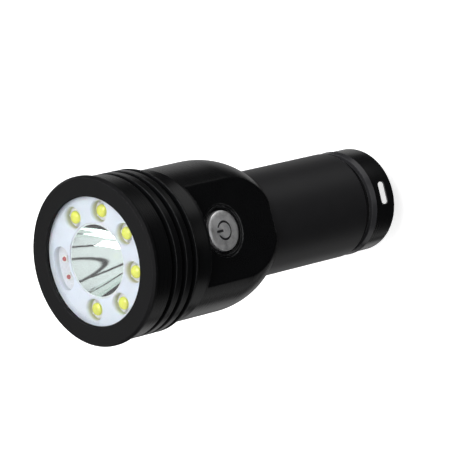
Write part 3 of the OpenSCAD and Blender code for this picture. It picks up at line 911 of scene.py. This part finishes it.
def make_flood_lamps():
    board_top = BOARD.high
    board = hoop(PLATFORM_BORE - 0.4, BOARD, 0.05, 0.08, 160)
    sink = [(0, BOARD.low - 1), (1.1, BOARD.low - 1), (1.1, board_top - 1), (2.05, board_top + 0.05),
            (2.05, board_top + 1), (0, board_top + 1)]
    sinks = [at_lamp(lathe(sink, 48), a) for a in SCREW_ANGLES]
    piece("lamp_board", cut(board, sinks), "torch", "board_white", "flood_board")
    screws = [at_lamp(cross_screw(1.0, 1.85, 0.85, 6, board_top - 0.1, True), a) for a in SCREW_ANGLES]
    piece("lamp_board_screws", joined(screws), "torch", "steel", "board_screws")
    bases = [at_lamp(led_package(4.2, 0.7, board_top), a) for a in WHITE_LAMPS]
    piece("flood_lamp_bodies", joined(bases), "torch", "led_ceramic", "flood_led_bases")
    domes = [at_lamp(dome(2.0, 1.25, board_top + 0.7), a) for a in WHITE_LAMPS]
    piece("flood_lamp_domes", joined(domes), "torch", "led_phosphor", "flood_led_domes")
    reds = [at_lamp(led_package(2.2, 0.6, board_top), a) for a in RED_LAMPS]
    piece("red_lamp_bodies", joined(reds), "torch", "led_ceramic", "red_led_bases")
    lens = [(0, 0, 0), (0.75, 0, 0), (0.6, 0.4, 0.12), (0, 0.4, 0)]
    lenses = [at_lamp(shifted(lathe(rounded(lens), 32), z=board_top + 0.6), a) for a in RED_LAMPS]
    piece("red_lamp_windows", joined(lenses), "torch", "led_red", "red_led_lenses")


def make_spot():
    board = turned("spot_board")
    base_top = turned("spot_led_base").high
    focus = board.high + 1.2
    mouth = REFLECTOR.r - 0.4
    depth = REFLECTOR.high - focus
    focal = (math.hypot(depth, mouth) - depth) / 2
    vertex = focus - focal
    heights = [REFLECTOR.low + (REFLECTOR.high - REFLECTOR.low) * (k / 48) ** 1.4 for k in range(49)]
    inside = [(math.sqrt(4 * focal * (z - vertex)), z) for z in heights]
    outside = [(min(r + 0.6, REFLECTOR.r), z) for r, z in inside[::-4]]
    piece("spot_mirror", lathe(inside + outside, 160), "torch", "reflector_chrome", "spot_reflector")

    centring = turned("centring_ring")
    window = block((5.2, 5.2, 4), (0, 0, centring.low + 1), 0.15)
    piece("spot_gasket", cut(disc(centring, 0.1, 0.15), [window]), "torch", "white_plastic", "centring_ring")

    holes = [hole(1.1, board.low - 1, board.high + 1, x=x) for x in SPOT_SCREWS]
    piece("spot_lamp_board", cut(disc(board, 0.08, 0.08), holes), "torch", "board_white", "spot_board")
    screws = [shifted(cross_screw(1.0, 1.8, 1.0, 4, board.high + 1, False), x=x) for x in SPOT_SCREWS]
    piece("spot_board_screws", joined(screws), "torch", "steel", "spot_screws")
    piece("spot_lamp_body", led_package(5, 0.8, board.high), "torch", "led_ceramic", "spot_led_base")
    piece("spot_lamp_dome", dome(2.2, 2.2, base_top), "torch", "led_phosphor", "spot_led_dome")


def make_platform():
    corners = [(0, PLATFORM.low, 0), (PLATFORM.r, PLATFORM.low, 0.3), (PLATFORM.r, PLATFORM.high, 0.2),
               (PLATFORM_BORE, PLATFORM.high, 0.2), (PLATFORM_BORE, SPOT_FLOOR, 0.4), (0, SPOT_FLOOR, 0)]
    body = lathe(rounded(corners), 160)
    screw_r = 1.02
    drills = [at_lamp(hole(screw_r, PLATFORM.high - 7, PLATFORM.high + 1), a) for a in SCREW_ANGLES]
    drills += [hole(screw_r, SPOT_FLOOR - 3, SPOT_FLOOR + 1, x=x) for x in SPOT_SCREWS]
    body = cut(body, drills)
    body = cut(body, [hole(1.8, PLATFORM.low - 1, SPOT_FLOOR + 1, y=10.4)])
    body = cut(body, [hole(1.4, SPOT_FLOOR + 3, PLATFORM.high + 1, y=12.8)])
    piece("heat_spreader", body, "torch", "bare_aluminium", "led_platform")


# ---- Driver and switch


def make_driver():
    board = turned("driver_board")
    piece("driver_disc", disc(board, 0.08, 0.08), "torch", "board_green", "driver_board")
    top = board.high
    chips = []
    for x, y, wide, deep, tall in ((2.5, -2.5, 5, 6, 1.6), (-2.5, 4.2, 5, 4, 1.1), (-6.5, -6, 3.2, 2.5, 1.0),
                                   (4, -6.5, 3.2, 1.6, 1.5), (4.6, 5.2, 3.2, 1.6, 1.5)):
        chips.append(block((wide, deep, tall), (x + wide / 2, y + deep / 2, top + tall / 2), 0.12))
    piece("driver_components", joined(chips), "torch", "chip_black", "driver_chips")
    core = block((6, 6, 3), (-5, 0.2, top + 1.5), 0.5, segments=4)
    well = hole(2.1, top + 2.9, top + 4, x=-5, y=0.2, steps=48)
    piece("driver_choke", cut(core, [well]), "torch", "chip_black", "driver_inductor")
    ring = turned("driver_ring")
    holes = [hole(0.8, ring.low - 1, ring.high + 1, x=x) for x in (-10.8, 10.8)]
    piece("driver_lock_ring", cut(hoop(9.5, ring, 0.1, 0.1, 128), holes), "torch", "brass", "driver_ring")
    contact = turned("positive_contact")
    piece("driver_contact", disc(contact, 0.35, 0.05, 64), "torch", "brass", "positive_contact")


def make_wires():
    low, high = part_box("led_wires")
    bottom, top = low.z / MM, high.z / MM
    spot_top = turned("spot_board").high
    leads = []
    for x in (-0.7, 0.7):
        for y0, y1, end, start, reach in ((9.6, 9.37, spot_top, PLATFORM.low, 3.5),
                                          (11.3, 12.8, top, SPOT_FLOOR + 4, 9)):
            path = [(x, y0 + (y1 - y0) * smooth((bottom + (end - bottom) * k / 40 - start) / reach),
                     bottom + (end - bottom) * k / 40) for k in range(41)]
            leads.append(wire(path, 0.43))
    piece("lamp_leads", joined(leads), "torch", "wire_red", "led_wires")


def power_symbol(bottom, height, margin=0.0):
    """Broken circle and bar, drawn flat; the bar points to the front of the torch."""
    outer, inner, gap, bar = 3.1 + margin, 2.4 - margin, 1.2 - margin, 0.4 + margin
    a0, a1 = math.asin(gap / outer), math.asin(gap / inner)
    ring = arc(outer, a0, TURN - 2 * a0, 48) + arc(inner, a1, TURN - 2 * a1, 48)[::-1]
    start, end = 0.4 - margin, 3.4 + margin
    stem = [(start, -bar), (end, -bar), (end, bar), (start, bar)]
    quarter = Matrix.Rotation(QUARTER, 4, "Z")
    return [to_switch(moved(prism(points, bottom, bottom + height), quarter)) for points in (ring, stem)]


def make_switch():
    lip_top = FLAT_DEPTH - 1
    lip_bottom = lip_top - 0.5
    rim_r, thread_r, inner_r, lip_r = 7.4, 7.95, 7.05, 6.4
    ring = rounded([(rim_r, FLAT_DEPTH, 0.15), (thread_r, FLAT_DEPTH, 0.15), (thread_r, SWITCH_FLOOR, 0.1),
                    (inner_r, SWITCH_FLOOR, 0.05), (inner_r, lip_bottom, 0.05), (lip_r, lip_bottom, 0.05),
                    (lip_r, lip_top, 0.1), (rim_r, lip_top, 0.1)])
    piece("switch_lock_ring", to_switch(lathe(ring, 128)), "torch", "cap_black", "switch_ring")

    flange_bottom = lip_bottom - 0.5
    stem_end = flange_bottom - 3.4
    groove = stem_end + 1
    button_r = (button_high.x - button_low.x) / 2 / MM - 0.6
    crown = [(r, BUTTON_FACE - 0.35 * (r / (button_r - 0.5)) ** 2, 0)
             for r in ((button_r - 0.5) * k / 12 for k in range(13))]
    flange_r, stem_r, seat_r = 6.9, 2.9, 2.1
    outline = rounded(crown + [(button_r, BUTTON_FACE - 0.6, 0.15), (button_r, lip_bottom, 0),
                               (flange_r, lip_bottom, 0.08), (flange_r, flange_bottom, 0.08),
                               (stem_r, flange_bottom, 0), (stem_r, groove + 0.9, 0.05),
                               (seat_r, groove + 0.9, 0.05), (seat_r, groove, 0.05), (stem_r, groove, 0.05),
                               (stem_r, stem_end, 0.1), (0, stem_end, 0)])
    button = cut(to_switch(lathe(outline, 128)), power_symbol(BUTTON_FACE - 0.42, 1))
    piece("push_button_cap", button, "push_button", "button_steel", "switch_button")
    piece("power_symbol_inlay", joined(power_symbol(BUTTON_FACE - 0.42, 0.14, margin=-0.01)), "push_button",
          "icon_dark", "switch_icon")
    cord = to_switch(lathe(arc(0.4, 0, TURN, 16, (2.5, stem_end + 1.45))[:-1], 64))
    piece("switch_o_ring", cord, "push_button", "seal_rubber", "switch_seal")
    tip_end = -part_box("switch_plunger")[1].y / MM
    tip = rounded([(0, tip_end, 0), (1.6, tip_end, 0.3), (1.6, stem_end, 0.05), (0, stem_end, 0)])
    piece("switch_push_rod", to_switch(lathe(tip, 48)), "push_button", "chip_black", "switch_plunger")

    gap = flange_bottom - 0.7 - SWITCH_FLOOR
    spring_wire = (gap - 0.1) / 4
    path = coil(2, 5, 4, SWITCH_FLOOR + 0.05 + spring_wire, SWITCH_FLOOR + gap - 0.05 - spring_wire, 0.3)
    piece("switch_return_spring", to_switch(wire(path, spring_wire)), "torch", "steel", "switch_spring")

    low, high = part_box("tact_switch")
    well = to_switch(hole(1.7, -high.y / MM + 1, -low.y / MM + 1, steps=48))
    piece("click_switch", cut(node_block("tact_switch", 0.2), [well]), "torch", "chip_black", "tact_switch")
    piece("switch_card", node_block("switch_board", 0.08), "torch", "board_green", "switch_board")


# ---- Tube, cell and tail cap


def cap_thread(r, z, angle):
    """Cuts the thread into the cap's neck; its depth grows over the first 0.4 mm."""
    if abs(r - CAP_NECK_R) > 1e-4 or z < THREAD_LOW:
        return r, z
    depth = THREAD_DEPTH * smooth((z - THREAD_LOW) / 0.4)
    return r - depth * (1 - ridge(z / PITCH - angle / TURN)), z


def tube_thread(r, z, angle):
    """Gives the tube the cap's thread, with a gap round it."""
    start = THREAD_LOW + 0.5
    if abs(r - CAP_NECK_R - 0.05) > 1e-4 or not start < z < CAP.high + 0.4:
        return r, z
    cap_r = CAP_NECK_R - THREAD_DEPTH * (1 - ridge(z / PITCH - angle / TURN))
    return min(r + 0.3, cap_r + THREAD_GAP), z


def make_tube():
    r, bottom, top = TUBE.r, TUBE.low, TUBE.high
    seat = SHOULDER_END - 0.4
    neck = SOCKET_R - 0.05
    bore = CAP_NECK_R + 0.05
    thread_top = CAP.high + 0.8
    corners = [(bore, bottom, 0.15), (r, bottom, 0.35), (r, seat, 0.12), (neck, seat, 0.05)]
    for z in TUBE_SEALS:
        corners += seal_groove(neck, z)
    corners += [(neck, top, 0.4), (BORE_R, top, 0.2), (BORE_R, thread_top, 0.05), (bore, thread_top, 0.05)]
    outline = denser(rounded(corners), 0.12, THREAD_LOW, CAP.high + 0.4)
    # Only the bore needs the close points, so the outer wall drops them
    outline = [p for i, p in enumerate(outline) if p[0] < r - 0.01 or i == 0 or outline[i - 1][0] < r - 0.01
               or not THREAD_LOW < p[1] < CAP.high + 0.4]
    piece("tube_body", lathe(outline, 160, shape=tube_thread), "torch", "tube_black", "battery_tube")
    make_seal("tube_o_rings", "tube_seals", "torch", neck - 0.5, 0.5, TUBE_SEALS)


def make_cell():
    can = turned("cell_can")
    piece("cell_body", disc(can, 0.9, 0.7, 128), "battery", "steel", "cell_can")
    film = turned("cell_wrapper")
    inner = film.r - 0.15
    corners = [(inner, film.low, 0.03), (film.r, film.low, 0.06), (film.r, film.high, 0.06),
               (inner, film.high, 0.03)]
    wrap = lathe(denser(rounded(corners), 3), 128)
    piece("cell_film", wrap, "battery", "wrapper_blue", "cell_wrapper")
    washer = turned("cell_insulator")
    piece("cell_washer", hoop(6, washer, 0.05, 0.1, 96), "battery", "white_plastic", "cell_insulator")
    button = turned("cell_top_cap")
    corners = [(0, button.low, 0), (button.r, button.low, 0), (button.r - 0.15, button.high, 0.3),
               (0, button.high, 0)]
    piece("cell_button", lathe(rounded(corners), 96), "battery", "steel", "cell_top_cap")


def lanyard_cutter(half_len, half_w):
    """Slot through the corner between the cap's side and its tail face, at 45 degrees on the -Y side."""
    points = (arc(half_w, -QUARTER, math.pi, 16, (half_len, 0))
              + arc(half_w, QUARTER, math.pi, 16, (-half_len, 0)))
    corner = Matrix.Translation(Vector((0, -(CAP.r - 0.3), 5.9)) * MM)
    return moved(prism(points, -15, 15), corner @ Matrix.Rotation(math.radians(45), 4, "X"))


def make_cap():
    foot, side = CAP.r - 2.1, CAP.r - 0.3
    fillet = side - foot
    bore, floor = 13.5, 6.3
    angles = [QUARTER * k / 12 for k in range(13)]
    curve = [(foot + fillet * math.sin(a), fillet * (1 - math.cos(a)), 0) for a in angles]
    band = CAP_HEIGHT - 2.0
    corners = [(0, 0, 0)] + curve
    corners += [(side, band, 0.05), (CAP.r, band + 0.2, 0.08), (CAP.r, band + 0.4, 0.08),
                (CAP.r - 0.6, CAP_HEIGHT, 0.12), (CAP_NECK_R, CAP_HEIGHT, 0.1)]
    for z in CAP_SEALS:
        corners += seal_groove(CAP_NECK_R, z)
    corners += [(CAP_NECK_R, CAP.high, 0.5), (bore, CAP.high, 0.2), (bore, floor, 0.3), (0, floor, 0)]
    outline = denser(rounded(corners), 0.12, THREAD_LOW, CAP.high - 0.4)
    body = lathe(outline, 160, shape=cap_thread)
    for turn in (0, math.pi):
        body = cut(body, [spun(lanyard_cutter(2.7, 1.0), turn)])
    piece("tail_cap_body", body, "tail", "cap_black", "tail_cap")
    make_seal("tail_o_rings", "tail_seals", "tail", CAP_NECK_R - 0.5, 0.5, CAP_SEALS)

    contact = turned("tail_contact")
    piece("tail_contact_disc", disc(contact, 0.1, 0.15), "tail", "brass", "tail_contact")
    spring = turned("tail_spring")
    path = coil(3.4, 6.5, 3.5, spring.low + 0.5, spring.high - 0.5, 0.8)
    piece("tail_coil", wire(path, 0.5), "tail", "brass", "tail_spring")


# ---- Stage: floor, light and camera


def make_floor():
    """Pale floor, 10 mm under the tail so that a cap that is screwed out 9 mm still shows whole."""
    bm = bmesh.new()
    bmesh.ops.create_circle(bm, cap_ends=True, radius=6, segments=96)
    floor = as_object(shifted(bm, z=-10), "studio_floor")
    f = Finish("floor_pale", (0.86, 0.86, 0.86), roughness=0.9)
    f.vary(f.noise(0.02, detail=2), colour_share=0.015)
    f.shader.inputs["Emission Color"].default_value = (1, 1, 1, 1)
    f.shader.inputs["Emission Strength"].default_value = 0.62
    f.done()
    floor.data.materials.append(f.material)
    floor.visible_diffuse = floor.visible_glossy = floor.visible_shadow = False


def make_world():
    """Soft white room: pale for the camera, and bright panels and dark gaps for reflections."""
    world = bpy.data.worlds.new("studio")
    bpy.context.scene.world = world
    world.use_nodes = True
    n = Nodes(world.node_tree)
    n.tree.nodes.clear()
    direction = n.node("ShaderNodeTexCoord").outputs["Generated"]
    light = 0.0
    for aim, wide, soft, strength in PANELS:
        outer, inner = math.cos(math.radians(wide + soft)), math.cos(math.radians(wide))
        facing = n.vector("DOT_PRODUCT", direction, Vector(aim).normalized())
        light = n.math("ADD", light, n.ranged(facing, outer, inner, strength))
    for normal, wide, soft in GAPS:
        away = n.math("ABSOLUTE", n.vector("DOT_PRODUCT", direction, Vector(normal).normalized()))
        inner, outer = math.sin(math.radians(wide)), math.sin(math.radians(wide + soft))
        light = n.math("MULTIPLY", light, n.ranged(away, inner, outer))
    room = n.node("ShaderNodeBackground")
    n.put(room.inputs["Strength"], n.math("ADD", light, ROOM_LIGHT))
    backdrop = n.node("ShaderNodeBackground")
    n.put(backdrop.inputs["Color"], (0.97, 0.97, 0.97, 1))
    choose = n.node("ShaderNodeMixShader")
    n.put(choose.inputs[0], n.node("ShaderNodeLightPath").outputs["Is Camera Ray"])
    n.put(choose.inputs[1], room.outputs[0])
    n.put(choose.inputs[2], backdrop.outputs[0])
    n.put(n.node("ShaderNodeOutputWorld").inputs[0], choose.outputs[0])


# Light that reaches the torch from every direction
ROOM_LIGHT = 0.02

# Bright areas of the room: direction, half-width and softness in degrees, and strength
PANELS = [
    ((0.0, -0.1, 0.99), 62, 14, 1.3),
    ((0.30, -0.55, 0.78), 6, 6, 0.7),
    ((0.05, -0.98, -0.08), 12, 10, 0.55),
    ((-0.54, 0.45, -0.71), 12, 12, 0.55),
    ((0.33, 0.62, -0.71), 16, 12, 0.42),
    ((0.0, 0.70, -0.71), 30, 20, 0.12),
    ((0.75, -0.50, -0.30), 16, 14, 1.2),
    ((-0.85, 0.0, -0.30), 16, 14, 0.8),
    ((0.6, 0.75, -0.2), 13, 11, 1.0),
    ((-0.65, 0.72, -0.2), 10, 10, 0.7),
]

# Dark gaps between the panels, each along a great circle: normal, half-width and softness in degrees
GAPS = [
    ((0.15, 0.95, 0.28), 3.0, 4.0),
    ((-0.35, 0.75, -0.56), 1.5, 5.0),
]


def make_lights():
    """Soft light over the switch side. Mirror-like parts don't show it, so it only lights the pale ones."""
    data = bpy.data.lights.new("top_softbox", "AREA")
    data.shape = "RECTANGLE"
    data.size = data.size_y = 0.6
    data.energy = 11
    lamp = in_scene("top_softbox", data)
    lamp.location = (0.35, -0.35, 0.95)
    lamp.rotation_mode = "QUATERNION"
    lamp.rotation_quaternion = (Vector((0, 0, 0.06)) - lamp.location).to_track_quat("-Z", "Y")
    lamp.visible_glossy = False


def make_camera():
    """Camera above the switch side, with the beam rolled to the left."""
    distance, elevation, tail_rise = 1.10, 45.4, 13.4
    target = Vector((0, 0, (cad_low.z + cad_high.z) / 2))
    e = math.radians(elevation)
    back = Vector((0, -math.cos(e), math.sin(e)))
    tail = Vector((0, 0, -1))
    tail = (tail - back * tail.dot(back)).normalized()
    side = back.cross(tail)
    rise = math.radians(tail_rise)
    right = tail * math.cos(rise) - side * math.sin(rise)
    up = back.cross(right)
    data = bpy.data.cameras.new("camera")
    data.lens = 274
    data.sensor_width = 36
    data.clip_start, data.clip_end = 0.05, 30
    camera = in_scene("camera", data)
    turn = Matrix((right, up, back)).transposed().to_4x4()
    camera.matrix_world = Matrix.Translation(target + back * distance) @ turn
    bpy.context.scene.camera = camera


# ---- The torch and its stage

make_camera()
make_finishes()
make_head()
make_bezel()
make_glass()
make_front_seals()
make_face_plate()
make_flood_lamps()
make_spot()
make_platform()
make_driver()
make_wires()
make_switch()
make_tube()
make_cell()
make_cap()
make_floor()
make_world()
make_lights()
bpy.context.scene.view_settings.view_transform = "Standard"
